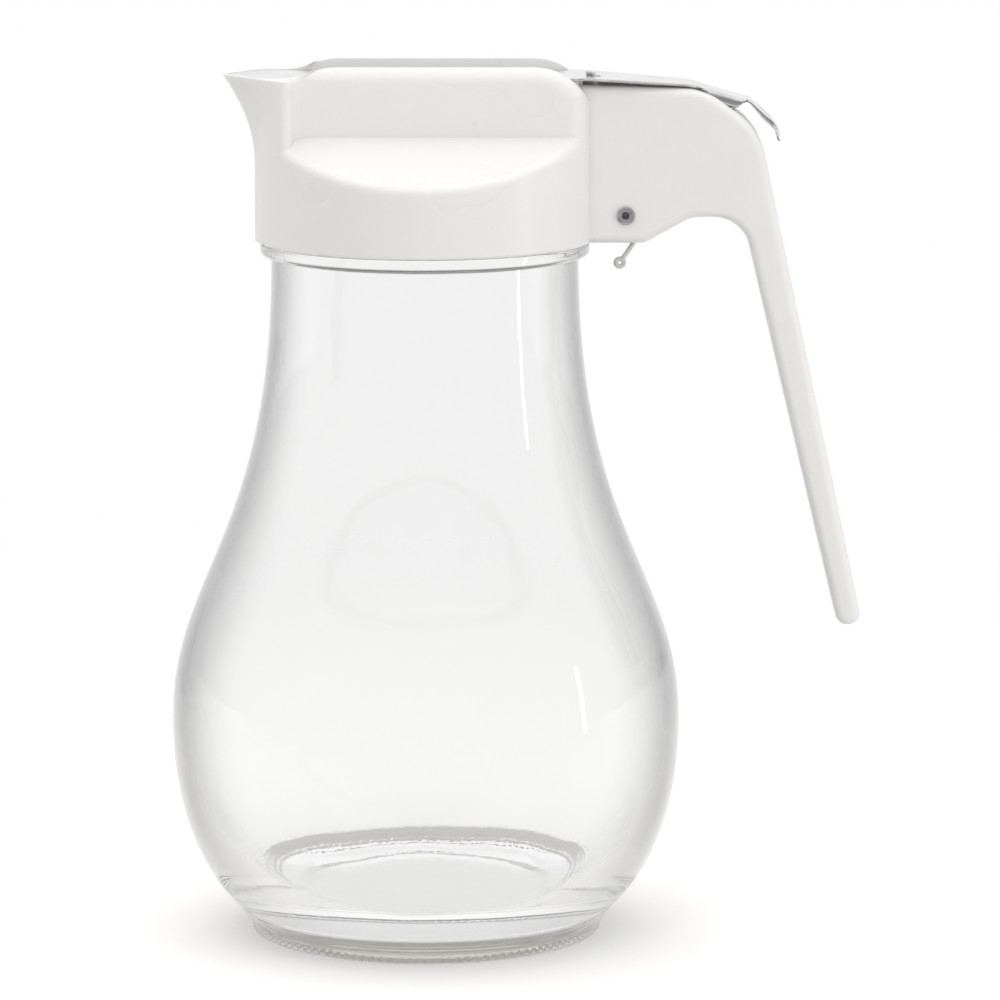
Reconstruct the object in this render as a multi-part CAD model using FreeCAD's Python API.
import FreeCAD, Part
import math
import os

# Syrup dispenser: a teardrop jar of pressed glass, and a screwed-on pouring top of white plastic
# with a spout, two finger scoops and a hanging grip. A stainless slide lies in the top's channel,
# closes the spout and is drawn back with the thumb; a wire spring round a pin brings it back.
# Millimetres. +Z is up, the origin is on the jar's axis at the floor, the spout points along -X.

V = FreeCAD.Vector

# ---------------------------------------------------------------- jar: outside
belly_radius = 65.2
belly_height = 55.1
belly_pull_down = 27.8      # how far the belly's upright tangent reaches down the bowl
belly_pull_up = 37.4        # and up the shoulder
bowl_edge_depth = 16.8      # where the bowl leaves the foot, in from the belly
bowl_edge_height = 7.3
bowl_edge_angle = 41.7      # degrees above level
bowl_edge_pull = 9.4
neck_radius = 39.1
neck_height = 174.6
neck_pull = 72.5

# jar: foot
foot_floor_depth = 4.2      # in from the bowl's edge, where the foot's slope meets the floor
foot_edge_round = 0.9
bearing_width = 5.5         # flat ring that the jar stands on
pushup_height = 3.6         # the underside rises to this at the centre
pushup_slope_width = 5.0

# jar: inside
glass_wall = 3.0
base_thickness = 4.6
inside_base_depth = 7.9     # in from the bowl's edge
inside_pull_down = 29.9     # the inside's upright tangent, down the bowl
inside_base_round = 9.0

# jar: mouth
collar_step = 2.8           # glass ring just under the top's skirt, out from the neck
collar_height = 3.4
collar_round = 1.4
finish_step = 0.6           # the threaded part of the mouth lies this far in from the neck
finish_height = 14.2        # from the collar to the rim
rim_round = 0.9
thread_pitch = 6.4
thread_turns = 1.25
thread_depth = 1.3
thread_start = 2.4          # above the collar
thread_root = 2.6           # width of the ridge where it meets the wall
thread_crest = 1.0
thread_clearance = 0.45     # between a crest and the wall that it faces

# ---------------------------------------------------------------- top: cap
# Heights of the top, the slide, the pin and the spring count from the skirt's lower edge.
# Places marked "out" count along X from the cap's wall on the handle's side.
cap_gap = 0.4               # between the skirt and the collar
skirt_wall = 2.25
skirt_edge_round = 0.8
ledge_height = 27.9         # where a scoop's ledge meets its upright wall
ledge_angle = 21.6          # degrees, falling outward
ledge_edge_round = 2.4
cheek_rise = 2.8            # the cheeks stand this far above the spout's rim
cheek_outer_y = 16.5
cheek_wall = 4.1
cheek_edge_round = 3.9
cheek_fall_round = 15.2     # the cheeks bend down over the handle with this radius
cheek_fall_overhang = 0.4   # the bend would end this far outside the cap's wall
housing_corner_round = 4.5
scoop_front_depth = 9.5     # in from the cap's wall, with the spout in front of it
scoop_front_round = 3.6     # inner corner at the scoop's front end
scoop_lip_round = 2.0       # outer corner there, where it meets the cap's wall
plastic_wall = 2.2

# top: spout
rim_height = 42.4
spout_tip_round = 6.0
spout_start_height = 20.6
spout_reach = 10.2          # how far the rim's corner stands out of the cap
spout_low_reach = 0.8       # the same low on the cap
spout_flare_power = 1.9     # how late the flare comes
spout_steps = 8
spout_tangent_depth = 0.25  # the spout's flanks dive this far into the cap's wall
rim_rise_depth = 6.5        # in from the cap's wall the rim starts to rise to the cheeks
rim_rise_length = 14.0
spout_lip = 1.3             # rim left standing round the slide
pour_land = 1.9             # shelf under the slide's edge round the pouring hole
pour_hole_depth = 11.5      # in from the cap's wall

# top: channel for the slide
channel_depth = 1.0
deck_thickness = 2.0

# ---------------------------------------------------------------- handle
handle_half_width = 9.0
handle_edge_round = 2.2
handle_root_depth = 4.0     # buried in the cap
block_bottom_height = 0.2
handle_top_drop = 2.1       # where it leaves the cap, below the spout's rim

# handle: side outline, corner by corner: out, height, radius that rounds the corner
handle_shoulder = (28.0, -1.0, 16.0)    # these two heights count from the handle's top
handle_crown = (42.2, -11.4, 17.0)
grip_outer_end = (69.2, -98.0, 2.9)
grip_inner_end = (62.9, -98.0, 2.9)
finger_arch = (38.0, 6.8, 9.5)
arch_foot = (25.0, 6.8, 8.0)
block_heel = (13.2, 0.2, 6.0)

# handle: hollow for the spring, side outline: out, height, radius
block_wall = 2.5
pocket_front_floor = (1.2, 2.8, 2.0)
pocket_back_floor = (14.0, 2.8, 2.0)
pocket_back_lean = (14.0, -13.7, 4.0)   # these two heights count from the handle's top
pocket_front_lean = (1.2, -15.3, 4.0)
pocket_mouth_front = -2.6   # out
pocket_mouth_back = 21.5    # out
pocket_mouth_depth = 4.0
flange_groove_gap = 0.7     # under the slide's flanges, in a groove open at the handle's crown
leg_slot_clearance = 0.7

# ---------------------------------------------------------------- slide
slide_thickness = 0.6
slide_gap = 0.3             # under the slide
slide_side_gap = 0.3
slide_bend = (-1.5, 30.0)   # out, radius
slide_rest = (24.5, 14.0)   # where it lies on the handle: out, radius
slide_waist = 37.5          # narrowest here, out
flange_side_gap = 1.3       # between its turned-down edges and the block's walls
flange_start = 28.5         # its edges are turned down between these, out
flange_end = 38.5
flange_depth = 2.8
tab_slope_end = (39.7, -4.7, 3.0)       # heights from the handle's top
tab_curl_start = (46.7, -11.1, 6.0)
tab_tip = (47.0, -13.8, 0)
tab_wide = 43.5             # full width from here, out
tab_half_width = 7.5
tab_tip_round = 6.0
hook_hole_length = 3.6
hook_hole_half_width = 1.3

# ---------------------------------------------------------------- pin and spring
pin_place = (8.3, 7.3)      # out, height
pin_shank_radius = 1.8
pin_bore_radius = 0.8       # the pin is a tubular rivet
pin_bore_depth = 3.0
pin_fit = 0.05
pin_head_radius = 2.35
pin_head_height = 0.7
wire_diameter = 1.3
coil_turns = 6
coil_fit = 0.3
spring_leg_y = -3.0
spring_hook = 0.1           # out
leg_knee = (11.3, 1.0)      # out, height
leg_eye = (7.0, -5.4)
eye_radius = 1.0

# ---------------------------------------------------------------- sizes that follow
bowl_edge_radius = belly_radius - bowl_edge_depth
foot_floor_radius = bowl_edge_radius - foot_floor_depth
inside_base_radius = bowl_edge_radius - inside_base_depth
collar_radius = neck_radius + collar_step
finish_radius = neck_radius - finish_step
collar_top = neck_height + collar_height
rim_of_glass = collar_top + finish_height
cap_bottom = collar_top + cap_gap
skirt_bore = finish_radius + thread_depth + thread_clearance
cap_radius = skirt_bore + skirt_wall
shoulder_height = rim_of_glass - cap_bottom
mouth_radius = neck_radius - glass_wall
cheek_height = rim_height + cheek_rise
cheek_inner_y = cheek_outer_y - cheek_wall
handle_top_height = rim_height - handle_top_drop
pocket_half_width = handle_half_width - block_wall
slide_waist_half_width = pocket_half_width - flange_side_gap
scoop_front_x = scoop_front_depth - cap_radius
rim_rise_start_x = rim_rise_depth - cap_radius
pour_hole_back_x = pour_hole_depth - cap_radius
channel_floor = rim_height - channel_depth
deck_underside = channel_floor - deck_thickness
slide_underside = channel_floor + slide_gap
slide_half_width = cheek_inner_y - slide_side_gap
coil_radius = pin_shank_radius + coil_fit + wire_diameter / 2
ledge_fall = math.tan(math.radians(ledge_angle))
pin_x = cap_radius + pin_place[0]
pin_height = pin_place[1]


# ---------------------------------------------------------------- helpers
def edge_line(a, b):
    """A straight edge between two points."""
    return Part.LineSegment(a, b).toShape()


def edge_bezier(points):
    """A Bezier edge with the given control points."""
    curve = Part.BezierCurve()
    curve.setPoles(points)
    return curve.toShape()


def rounded_edges(corners, place, closed=True):
    """Edges through corners (u, v, radius), each corner rounded by a tangent arc.

    place turns (u, v) into a point in space. An open path keeps its two ends sharp.
    """
    count = len(corners)
    starts = []
    ends = []
    middles = []
    for i, (u, v, radius) in enumerate(corners):
        here = V(u, v, 0)
        if radius == 0 or (not closed and i in (0, count - 1)):
            starts.append(here)
            ends.append(here)
            middles.append(None)
            continue
        before = V(*corners[i - 1][:2], 0)
        after = V(*corners[(i + 1) % count][:2], 0)
        back = (before - here).normalize()
        ahead = (after - here).normalize()
        half = back.getAngle(ahead) / 2
        reach = radius / math.tan(half)
        bisector = (back + ahead).normalize()
        starts.append(here + back * reach)
        ends.append(here + ahead * reach)
        middles.append(here + bisector * (radius / math.sin(half) - radius))
    edges = []
    for i in range(count):
        if middles[i] is not None:
            arc = [place(p.x, p.y) for p in (starts[i], middles[i], ends[i])]
            edges.append(Part.Arc(*arc).toShape())
        if i < count - 1 or closed:
            a = ends[i]
            b = starts[(i + 1) % count]
            if a.distanceToPoint(b) > 1e-6:
                edges.append(edge_line(place(a.x, a.y), place(b.x, b.y)))
    return edges


def in_side_view(u, v):
    """Side view: u along X, v along Z."""
    return V(u, 0, v)


def out(place):
    """A place given out from the cap's wall, as distance from the jar's axis along X."""
    return (cap_radius + place[0],) + tuple(place[1:])


def out_down(place):
    """The same, for a place whose height counts from the handle's top."""
    return (cap_radius + place[0], handle_top_height + place[1]) + tuple(place[2:])


def in_plan(u, v):
    """Plan view: u along X, v along Y."""
    return V(u, v, 0)


def in_front_view(u, v):
    """Front view: u along Y, v along Z."""
    return V(0, u, v)


def side_prism(corners, half_width):
    """A side outline, thickened by half_width to both sides of the middle plane."""
    face = Part.Face(Part.Wire(rounded_edges(corners, in_side_view)))
    face.translate(V(0, -half_width, 0))
    return face.extrude(V(0, 2 * half_width, 0))


def plan_prism(corners, bottom, top):
    """A plan outline, extruded from bottom to top."""
    face = Part.Face(Part.Wire(rounded_edges(corners, in_plan)))
    face.translate(V(0, 0, bottom))
    return face.extrude(V(0, 0, top - bottom))


def front_prism(corners, start_x, end_x):
    """A front-view outline, extruded along X."""
    face = Part.Face(Part.Wire(rounded_edges(corners, in_front_view)))
    face.translate(V(start_x, 0, 0))
    return face.extrude(V(end_x - start_x, 0, 0))


def upright_cylinder(radius, bottom, top):
    """A cylinder on the jar's axis."""
    return Part.makeCylinder(radius, top - bottom, V(0, 0, bottom))


def box(low, high):
    """A box between two corners."""
    return Part.makeBox(high[0] - low[0], high[1] - low[1], high[2] - low[2], V(*low))


def revolve_edges(edges):
    """A solid turned about Z from a closed profile in the XZ plane."""
    face = Part.Face(Part.Wire(Part.sortEdges(edges)[0]))
    return face.revolve(V(0, 0, 0), V(0, 0, 1), 360)


def thread_ridge(wall_radius, outward, bottom):
    """A helical ridge on a wall: outward on the glass, inward in the skirt."""
    side = 1 if outward else -1
    root = wall_radius - side * 0.3
    crest = wall_radius + side * thread_depth
    profile = [
        V(root, 0, bottom - thread_root / 2),
        V(crest, 0, bottom - thread_crest / 2),
        V(crest, 0, bottom + thread_crest / 2),
        V(root, 0, bottom + thread_root / 2),
    ]
    helix = Part.makeHelix(thread_pitch, thread_pitch * thread_turns, wall_radius)
    helix.translate(V(0, 0, bottom))
    return Part.Wire(helix).makePipeShell([Part.makePolygon(profile + profile[:1])], True, True)


# ---------------------------------------------------------------- jar
def jar_outer_curves():
    """The bowl and the shoulder, seen from the side."""
    angle = math.radians(bowl_edge_angle)
    edge = V(bowl_edge_radius, 0, bowl_edge_height)
    belly = V(belly_radius, 0, belly_height)
    neck = V(neck_radius, 0, neck_height)
    bowl = edge_bezier([
        edge,
        edge + V(math.cos(angle), 0, math.sin(angle)) * bowl_edge_pull,
        belly - V(0, 0, belly_pull_down),
        belly,
    ])
    shoulder = edge_bezier([belly, belly + V(0, 0, belly_pull_up), neck - V(0, 0, neck_pull), neck])
    return bowl, shoulder


def jar_outside():
    """The outer body with its foot, collar and plain mouth, full of glass."""
    bowl, shoulder = jar_outer_curves()
    foot = rounded_edges([
        (0, 0, 0),
        (foot_floor_radius, 0, foot_edge_round),
        (bowl_edge_radius, bowl_edge_height, 0),
    ], in_side_view, closed=False)
    mouth = rounded_edges([
        (neck_radius, neck_height, 0),
        (collar_radius, neck_height + 0.4, collar_round),
        (collar_radius, collar_top, 0.6),
        (finish_radius, collar_top, 0.4),
        (finish_radius, rim_of_glass, rim_round),
        (0, rim_of_glass, 0),
    ], in_side_view, closed=False)
    axis = edge_line(V(0, 0, rim_of_glass), V(0, 0, 0))
    return revolve_edges(foot + [bowl, shoulder] + mouth + [axis])


def jar_hollow():
    """The space inside the jar, from its base to past the rim."""
    base_height = pushup_height + base_thickness
    floor = V(inside_base_radius - inside_base_round, 0, base_height)
    corner = V(inside_base_radius + 3.0, 0, base_height)
    belly = V(belly_radius - glass_wall, 0, belly_height)
    neck = V(mouth_radius, 0, neck_height)
    top = V(mouth_radius, 0, rim_of_glass + 1)
    centre = V(0, 0, base_height)
    return revolve_edges([
        edge_line(centre, floor),
        edge_bezier([floor, corner, belly - V(0, 0, inside_pull_down), belly]),
        edge_bezier([belly, belly + V(0, 0, belly_pull_up), neck - V(0, 0, neck_pull), neck]),
        edge_line(neck, top),
        edge_line(top, V(0, 0, top.z)),
        edge_line(V(0, 0, top.z), centre),
    ])


def jar_pushup():
    """The shallow recess under the base, inside the bearing ring."""
    edge = foot_floor_radius - bearing_width
    return revolve_edges(rounded_edges([
        (0, -1, 0),
        (edge, -1, 0),
        (edge, 0, 0),
        (edge - pushup_slope_width, pushup_height, 6.0),
        (0, pushup_height, 0),
    ], in_side_view))


def make_jar():
    """The glass jar, one piece."""
    jar = jar_outside().cut(jar_hollow()).cut(jar_pushup())
    ridge = thread_ridge(finish_radius, True, collar_top + thread_start)
    return jar.fuse(ridge)


# ---------------------------------------------------------------- spout
def spout_apex(height):
    """How far out the two flanks of the spout would meet, at a height."""
    rise = (height - spout_start_height) / (rim_height - spout_start_height)
    flare = max(rise, 0.0) ** spout_flare_power
    reach = spout_low_reach + (spout_reach - spout_low_reach) * flare
    return cap_radius + reach


def spout_outline(apex, inset):
    """Plan outline of the spout's nose, drawn in by inset, closed inside the cap."""
    near = cap_radius - spout_tangent_depth
    half = math.asin(near / apex)
    point = apex - inset / math.sin(half)
    near -= inset
    reach = near / math.tan(half)
    flank_x = -(point - reach * math.cos(half))
    flank_y = reach * math.sin(half)
    tip_round = max(spout_tip_round - inset, 1.0)
    return [(-point, 0, tip_round), (flank_x, flank_y, 0), (flank_x, -flank_y, 0)]


def spout_section(height, inset):
    """The spout's outline as a wire at a height."""
    edges = rounded_edges(spout_outline(spout_apex(height), inset), in_plan)
    wire = Part.Wire(edges)
    wire.translate(V(0, 0, height))
    return wire


def spout_loft(bottom, top, inset):
    """The spout's nose between two heights: upright below its start, then flaring."""
    start = max(bottom, spout_start_height)
    heights = [start + (top - start) * i / spout_steps for i in range(spout_steps + 1)]
    nose = Part.makeLoft([spout_section(h, inset) for h in heights], True, False)
    if bottom < start:
        lower = Part.Face(spout_section(bottom, inset)).extrude(V(0, 0, start - bottom))
        nose = nose.fuse(lower)
    return nose


# ---------------------------------------------------------------- top
def cap_body():
    """The round skirt up to the two sloping ledges, with their outer edges rounded."""
    far = cap_radius + 10
    low = ledge_height - (far - cheek_outer_y) * ledge_fall
    roof = front_prism([
        (-far, -1, 0),
        (far, -1, 0),
        (far, low, 0),
        (cheek_outer_y, ledge_height, 0),
        (-cheek_outer_y, ledge_height, 0),
        (-far, low, 0),
    ], -far, far)
    cap = upright_cylinder(cap_radius, 0, ledge_height).common(roof)
    ledge_edges = [
        e for e in cap.Edges
        if abs(e.CenterOfMass.y) > cheek_outer_y and e.BoundBox.ZLength > 1 and e.BoundBox.XLength > 10
    ]
    cap = cap.makeFillet(ledge_edge_round, ledge_edges)
    bottom = [e for e in cap.Edges if e.BoundBox.ZMax < 0.01]
    return cap.makeFillet(skirt_edge_round, bottom)


def cheek_bar(bottom):
    """The raised middle from the spout to the handle, round-shouldered, bending down at the handle."""
    fall_start_x = cap_radius + cheek_fall_overhang - cheek_fall_round
    fall_centre = cheek_height - cheek_fall_round

    def shouldered(low):
        return [
            (-cheek_outer_y, low, 0),
            (cheek_outer_y, low, 0),
            (cheek_outer_y, cheek_height, cheek_edge_round),
            (-cheek_outer_y, cheek_height, cheek_edge_round),
        ]

    straight = front_prism(shouldered(bottom), -cap_radius, fall_start_x)
    end_face = Part.Face(Part.Wire(rounded_edges(shouldered(fall_centre), in_front_view)))
    end_face.translate(V(fall_start_x, 0, 0))
    bend = end_face.revolve(V(fall_start_x, 0, fall_centre), V(0, 1, 0), 90)
    under = box(
        (fall_start_x, -cheek_outer_y, bottom),
        (fall_start_x + cheek_fall_round, cheek_outer_y, fall_centre),
    )
    return straight.fuse(bend).fuse(under)


def cheek_plan(bottom):
    """Plan of the raised middle: a strip ended by the cap's wall, its two corners rounded."""
    end_x = math.sqrt(cap_radius ** 2 - cheek_outer_y ** 2)
    strip = box((-cap_radius, -cheek_outer_y, bottom), (cap_radius, cheek_outer_y, cheek_height))
    body = strip.common(upright_cylinder(cap_radius, bottom, cheek_height))
    corners = [e for e in body.Edges if abs(e.CenterOfMass.x - end_x) < 0.1 and e.BoundBox.ZLength > 5]
    return body.makeFillet(housing_corner_round, corners)


def above_the_rise():
    """What lies above the cheeks where they rise from the spout's rim."""
    rise_end_x = rim_rise_start_x + rim_rise_length
    middle_x = rim_rise_start_x + rim_rise_length / 2
    steep = rim_rise_length / 6
    slope = math.atan2(cheek_height - rim_height, 2 * steep)
    bend = (rim_rise_length / 2 - steep) / math.tan(slope / 2) * 0.98
    return side_prism([
        (-cap_radius * 2, rim_height, 0),
        (middle_x - steep, rim_height, bend),
        (middle_x + steep, cheek_height, bend),
        (rise_end_x + 1, cheek_height, 0),
        (rise_end_x + 1, cheek_height + 10, 0),
        (-cap_radius * 2, cheek_height + 10, 0),
    ], cap_radius)


def spout_root(bottom):
    """The part of the cap behind the spout, up to the rim, hollowed by the scoops' round ends."""
    wide = cap_radius + 5
    inner_x = scoop_front_x + scoop_front_round * 2
    root = plan_prism([
        (-wide, -wide, 0),
        (scoop_front_x, -wide, 0),
        (scoop_front_x, -cheek_outer_y, scoop_front_round),
        (inner_x, -cheek_outer_y, 0),
        (inner_x, cheek_outer_y, 0),
        (scoop_front_x, cheek_outer_y, scoop_front_round),
        (scoop_front_x, wide, 0),
        (-wide, wide, 0),
    ], bottom, rim_height)
    return root.common(upright_cylinder(cap_radius, bottom, rim_height))


def scoop_lip_cutter(side):
    """What rounds off the thin corner between a scoop's front end and the cap's wall."""
    radius = scoop_lip_round
    centre_x = scoop_front_x - radius
    centre_y = math.sqrt((cap_radius - radius) ** 2 - centre_x ** 2)
    centre = V(centre_x, side * centre_y, 0)
    on_wall = centre * (cap_radius / (cap_radius - radius))
    on_front = centre + V(radius, 0, 0)
    crest = centre + ((on_wall - centre) + (on_front - centre)).normalize() * radius
    past = V(1, 0, 0)
    far = V(scoop_front_x + 1, side * cap_radius, 0)
    outline = Part.Wire([
        Part.Arc(on_wall, crest, on_front).toShape(),
        edge_line(on_front, on_front + past),
        edge_line(on_front + past, far),
        edge_line(far, on_wall * 1.4),
        edge_line(on_wall * 1.4, on_wall),
    ])
    face = Part.Face(outline)
    face.translate(V(0, 0, spout_start_height))
    return face.extrude(V(0, 0, cheek_height - spout_start_height))


def top_blank():
    """Cap, housing and spout in one, before the hollows are cut."""
    bottom = ledge_height / 2
    middle = cheek_bar(bottom).common(cheek_plan(bottom)).cut(above_the_rise())
    spout = spout_root(bottom).fuse(spout_loft(0, rim_height, 0.0))
    spout = spout.cut(scoop_lip_cutter(1)).cut(scoop_lip_cutter(-1)).removeSplitter()
    return cap_body().fuse(middle).fuse(spout)


def handle_solid():
    """The spring block and the hanging grip, with their long edges rounded."""
    root_x = cap_radius - handle_root_depth
    handle = side_prism([
        (root_x, handle_top_height, 0),
        out_down(handle_shoulder),
        out_down(handle_crown),
        out(grip_outer_end),
        out(grip_inner_end),
        out(finger_arch),
        out(arch_foot),
        out(block_heel),
        (root_x, block_bottom_height, 0),
    ], handle_half_width)
    long_edges = [
        e for e in handle.Edges
        if abs(e.CenterOfMass.y) > handle_half_width - 0.1 and e.BoundBox.XMax > root_x + 0.1
    ]
    return handle.makeFillet(handle_edge_round, long_edges)


def top_hollows():
    """Everything that is cut out of the top for the jar's mouth and for pouring."""
    skirt = upright_cylinder(skirt_bore, -1, shoulder_height)
    inner_y = cheek_outer_y - plastic_wall
    under_ledge = ledge_height - plastic_wall / math.cos(math.radians(ledge_angle))
    low = under_ledge - (cap_radius - inner_y) * ledge_fall
    roof = front_prism([
        (-cap_radius, shoulder_height - 1, 0),
        (cap_radius, shoulder_height - 1, 0),
        (cap_radius, low, 0),
        (inner_y, under_ledge, 1.0),
        (inner_y, deck_underside, 2.0),
        (-inner_y, deck_underside, 2.0),
        (-inner_y, under_ledge, 1.0),
        (-cap_radius, low, 0),
    ], -cap_radius, cap_radius)
    dome = upright_cylinder(mouth_radius, shoulder_height - 1, deck_underside + 1).common(roof)
    nose = spout_loft(spout_start_height + 2, deck_underside, plastic_wall)
    throat = box((-cap_radius, -inner_y, spout_start_height), (0, inner_y, deck_underside))
    throat = throat.common(upright_cylinder(cap_radius - plastic_wall, spout_start_height, deck_underside))
    return [skirt, dome, nose, throat]


def slide_channel():
    """The flat-bottomed channel between the cheeks, open over the handle."""
    outline = spout_front_plan(slide_half_width + slide_side_gap, spout_lip)
    outline += [(cap_radius + 20, cheek_inner_y, 0), (cap_radius + 20, -cheek_inner_y, 0)]
    return plan_prism(outline, channel_floor, cheek_height + 5)


def pour_hole():
    """The hole through the deck at the spout, with a land round it for the slide."""
    inset = spout_lip + pour_land
    half = slide_half_width - pour_land
    outline = spout_front_plan(half, inset)
    outline += [(pour_hole_back_x, half, 4.0), (pour_hole_back_x, -half, 4.0)]
    return plan_prism(outline, deck_underside - 1, channel_floor + 1)


def spout_front_plan(half_width, inset):
    """The nose of a flat piece lying in the spout: a rounded V that ends at half_width."""
    tip, flank, _ = spout_outline(spout_apex(rim_height), inset)
    run = half_width * (flank[0] - tip[0]) / flank[1]
    return [(tip[0] + run, -half_width, 4.0), tip, (tip[0] + run, half_width, 4.0)]


def spring_room():
    """The hollow in the block for the spring, open at the top under the slide."""
    mouth_height = handle_top_height - pocket_mouth_depth
    front_x = cap_radius + pocket_mouth_front
    back_x = cap_radius + pocket_mouth_back
    hollow = side_prism([
        out(pocket_front_floor),
        out(pocket_back_floor),
        out_down(pocket_back_lean),
        (back_x, mouth_height, 2.0),
        (back_x, cheek_height, 0),
        (front_x, cheek_height, 0),
        (front_x, mouth_height, 2.0),
        out_down(pocket_front_lean),
    ], pocket_half_width)
    groove = box(
        (out(pocket_back_lean)[0], -pocket_half_width, flange_outline()[2][1] - flange_groove_gap),
        (out(handle_crown)[0], pocket_half_width, cheek_height),
    )
    gap = wire_diameter / 2 + leg_slot_clearance
    slot = box(
        (pin_x - 1, spring_leg_y - gap, block_bottom_height - 1),
        (out(leg_knee)[0] + gap, spring_leg_y + gap, pocket_front_floor[1] + 1),
    )
    return [hollow, groove, slot]


def pin_bore():
    """The cross hole that the pin is riveted through."""
    length = 2 * handle_half_width + 2
    start = V(pin_x, -length / 2, pin_height)
    return Part.makeCylinder(pin_shank_radius + pin_fit, length, start, V(0, 1, 0))


def make_lid():
    """The white top: cap, housing, spout, block and grip in one moulding."""
    lid = top_blank().fuse(handle_solid())
    for cutter in top_hollows() + spring_room() + [slide_channel(), pour_hole(), pin_bore()]:
        lid = lid.cut(cutter)
    ridge = thread_ridge(skirt_bore, False, thread_start - cap_gap + thread_pitch / 2)
    return lid.fuse(ridge)


# ---------------------------------------------------------------- slide
def offset_path(corners, distance):
    """An open path moved to its left by distance, its rounding radii kept concentric."""
    moved = []
    for i, corner in enumerate(corners):
        here = V(corner[0], corner[1], 0)
        normals = []
        if i > 0:
            step = (here - V(*corners[i - 1][:2], 0)).normalize()
            normals.append(V(-step.y, step.x, 0))
        if i < len(corners) - 1:
            step = (V(*corners[i + 1][:2], 0) - here).normalize()
            normals.append(V(-step.y, step.x, 0))
        bisector = (normals[0] + normals[-1]).normalize()
        reach = distance / bisector.dot(normals[0])
        point = here + bisector * reach
        turn = normals[0].cross(normals[-1]).z
        radius = corner[2]
        if radius:
            radius -= math.copysign(distance, turn)
        moved.append((point.x, point.y, radius))
    return moved


def slide_under_line():
    """The slide's underside, seen from the side, from the nose to the thumb tab's tip."""
    nose_x = -(spout_apex(rim_height) + 2)
    return [
        (nose_x, slide_underside, 0),
        (cap_radius + slide_bend[0], slide_underside, slide_bend[1]),
        (cap_radius + slide_rest[0], handle_rest_height() + slide_gap, slide_rest[1]),
        out_down(tab_slope_end),
        out_down(tab_curl_start),
        out_down(tab_tip),
    ]


def slide_band():
    """The bent strip, full width, before it is cut to its plan."""
    under = slide_under_line()
    over = offset_path(under, slide_thickness)
    edges = rounded_edges(under, in_side_view, closed=False)
    edges += rounded_edges(over, in_side_view, closed=False)
    edges.append(edge_line(in_side_view(*under[0][:2]), in_side_view(*over[0][:2])))
    edges.append(edge_line(in_side_view(*under[-1][:2]), in_side_view(*over[-1][:2])))
    face = Part.Face(Part.Wire(Part.sortEdges(edges)[0]))
    face.translate(V(0, -cap_radius, 0))
    return face.extrude(V(0, 2 * cap_radius, 0))


def slide_plan():
    """The slide's outline from above, tapering from the cheeks to the waist and out to the tab."""
    tip_side, tip, far_side = spout_front_plan(slide_half_width, spout_lip + slide_side_gap)
    tab_end_x = out(tab_tip)[0] + 5
    side = [
        (cap_radius + slide_bend[0], slide_half_width, 12.0),
        (cap_radius + slide_waist, slide_waist_half_width, 8.0),
        (cap_radius + tab_wide, tab_half_width, 6.0),
        (tab_end_x, tab_half_width, 0),
    ]
    mirrored = [(x, -y, radius) for x, y, radius in reversed(side)]
    tip_height = out_down(tab_tip)[1]
    return plan_prism([tip, far_side] + side + mirrored + [tip_side], tip_height - 5, cheek_height)


def tab_front_outline():
    """Front view of the thumb tab: its lower corners rounded, everything above left free."""
    wide = cap_radius
    free = out_down(tab_curl_start)[1] + 2
    low = out_down(tab_tip)[1]
    return front_prism([
        (-wide, free, 0),
        (-tab_half_width, free, 0),
        (-tab_half_width, low, tab_tip_round),
        (tab_half_width, low, tab_tip_round),
        (tab_half_width, free, 0),
        (wide, free, 0),
        (wide, cheek_height, 0),
        (-wide, cheek_height, 0),
    ], -2 * cap_radius, out(tab_tip)[0] + 5)


def flange_outline():
    """Side outline of the two edges turned down between the bend and the thumb tab."""
    rest = slide_under_line()[2]
    end = out_down(tab_slope_end)
    slope = (end[1] - rest[1]) / (end[0] - rest[0])

    def skin(x):
        return rest[1] + (x - rest[0]) * slope + slide_thickness / 2

    start_x = cap_radius + flange_start
    end_x = cap_radius + flange_end
    low_x = end_x - flange_depth
    return [
        (start_x, skin(start_x), 0),
        (end_x, skin(end_x), 0),
        (low_x, skin(low_x) - flange_depth, 1.0),
        (start_x, skin(start_x) - flange_depth, 1.0),
    ]


def slide_flanges():
    """The two turned-down edges that guide the slide in the handle's groove."""
    inner = slide_waist_half_width - slide_thickness
    wide = cap_radius * 4
    return side_prism(flange_outline(), slide_waist_half_width).cut(
        box((-wide, -inner, -wide), (wide, inner, wide)))


def handle_rest_height():
    """Height of the handle's top where the slide lies on it."""
    root = -handle_root_depth
    share = (slide_rest[0] - root) / (handle_shoulder[0] - root)
    return handle_top_height + share * handle_shoulder[1]


def make_slide():
    """The steel slide: a flat nose, a bend over the handle and a thumb tab."""
    slide = slide_band().common(slide_plan()).common(tab_front_outline()).fuse(slide_flanges())
    hook_x = cap_radius + spring_hook
    hole = box(
        (hook_x - hook_hole_length / 2, spring_leg_y - hook_hole_half_width, handle_top_height),
        (hook_x + hook_hole_length / 2, spring_leg_y + hook_hole_half_width, cheek_height),
    )
    return slide.cut(hole)


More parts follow.
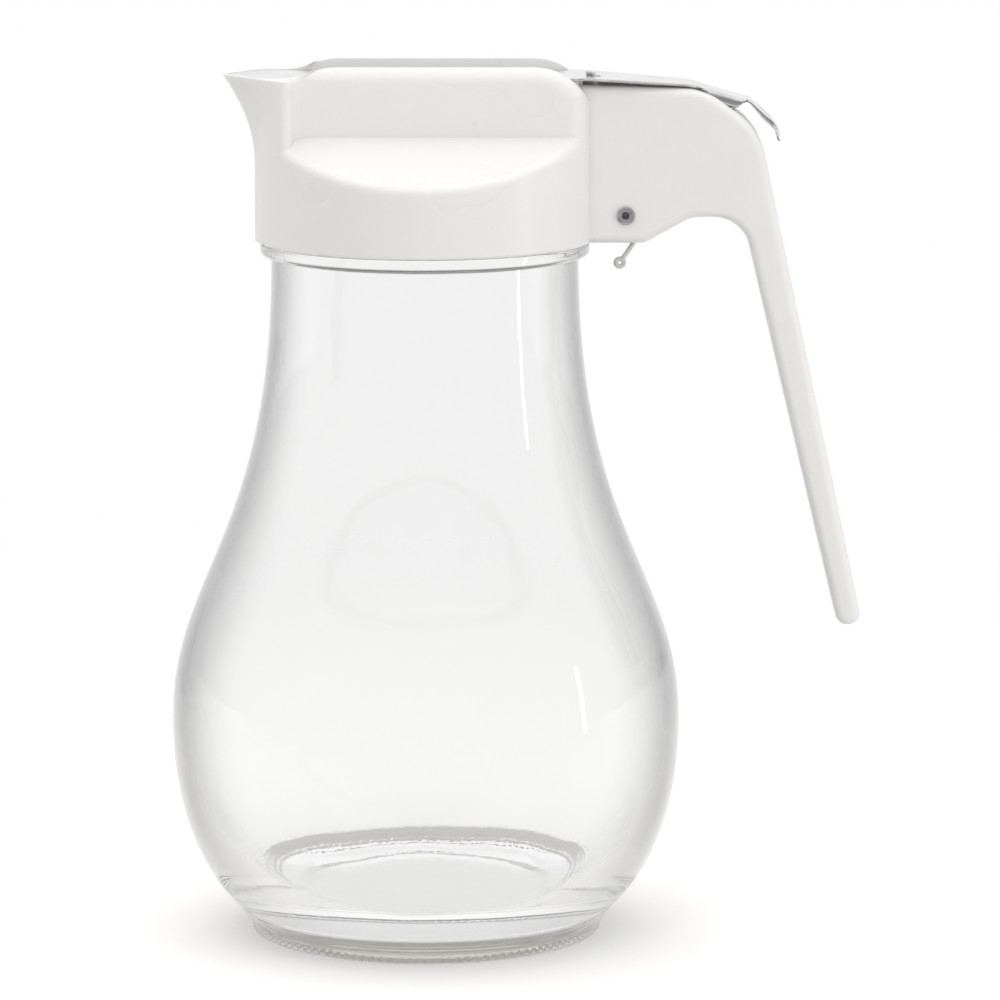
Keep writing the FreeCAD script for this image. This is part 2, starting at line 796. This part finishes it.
# ---------------------------------------------------------------- pin and spring
def make_pin():
    """The rivet across the block: a shank, two domed heads and a drilled end."""
    head = pin_head_radius
    half = handle_half_width
    outline = rounded_edges([
        (0, -half - pin_head_height, 0),
        (head, -half - pin_head_height, 0.5),
        (head, -half, 0),
        (pin_shank_radius, -half, 0),
        (pin_shank_radius, half, 0),
        (head, half, 0),
        (head, half + pin_head_height, 0.5),
        (0, half + pin_head_height, 0),
    ], in_plan)
    pin = Part.Face(Part.Wire(outline)).revolve(V(0, 0, 0), V(0, 1, 0), 360)
    for side in (-1, 1):
        end = V(0, side * (half + pin_head_height + 1), 0)
        drill = Part.makeCylinder(pin_bore_radius, pin_bore_depth + 1, end, V(0, -side, 0))
        pin = pin.cut(drill)
    pin.translate(V(pin_x, 0, pin_height))
    return pin


def wire_run(points):
    """Straight runs of spring wire with round knees."""
    radius = wire_diameter / 2
    shape = Part.makeSphere(radius, points[0])
    for a, b in zip(points, points[1:]):
        run = Part.makeCylinder(radius, a.distanceToPoint(b), a, b - a)
        shape = shape.fuse(run).fuse(Part.makeSphere(radius, b))
    return shape


def make_spring():
    """The torsion spring: a close coil round the pin, a hook up to the slide, a leg with an eye."""
    width = coil_turns * wire_diameter
    start = spring_leg_y - wire_diameter / 2
    core = Part.makeCylinder(coil_radius, width, V(pin_x, start, pin_height), V(0, 1, 0))
    bore_radius = coil_radius - wire_diameter / 2
    bore = Part.makeCylinder(bore_radius, width + 8, V(pin_x, start - 4, pin_height), V(0, 1, 0))
    coil = core
    for turn in range(coil_turns):
        centre = V(pin_x, start + (turn + 0.5) * wire_diameter, pin_height)
        coil = coil.fuse(Part.makeTorus(coil_radius, wire_diameter / 2, centre, V(0, 1, 0)))
    hook_top = slide_underside + slide_thickness + wire_diameter / 2
    hook = wire_run([
        V(pin_x - coil_radius, spring_leg_y, pin_height),
        V(cap_radius + spring_hook, spring_leg_y, hook_top),
    ])
    knee = V(out(leg_knee)[0], spring_leg_y, leg_knee[1])
    eye = V(out(leg_eye)[0], spring_leg_y, leg_eye[1])
    leg = wire_run([
        V(pin_x + coil_radius, spring_leg_y, pin_height),
        knee,
        eye + (knee - eye).normalize() * eye_radius,
    ])
    loop = Part.makeTorus(eye_radius, wire_diameter / 2, eye, V(0, 1, 0))
    return coil.fuse(hook).fuse(leg).fuse(loop).cut(bore)


# ---------------------------------------------------------------- write the parts
parts = {
    "jar": make_jar(),
    "lid": make_lid(),
    "slide": make_slide(),
    "pivot_pin": make_pin(),
    "return_spring": make_spring(),
}

os.makedirs("parts", exist_ok=True)
for name, shape in parts.items():
    if name != "jar":
        shape.translate(V(0, 0, cap_bottom))
    solids = len(shape.Solids)
    print(name, "solids", solids, "valid", shape.isValid(), "cm3", round(shape.Volume / 1000, 2))
    shape.exportStep("parts/" + name + ".step")
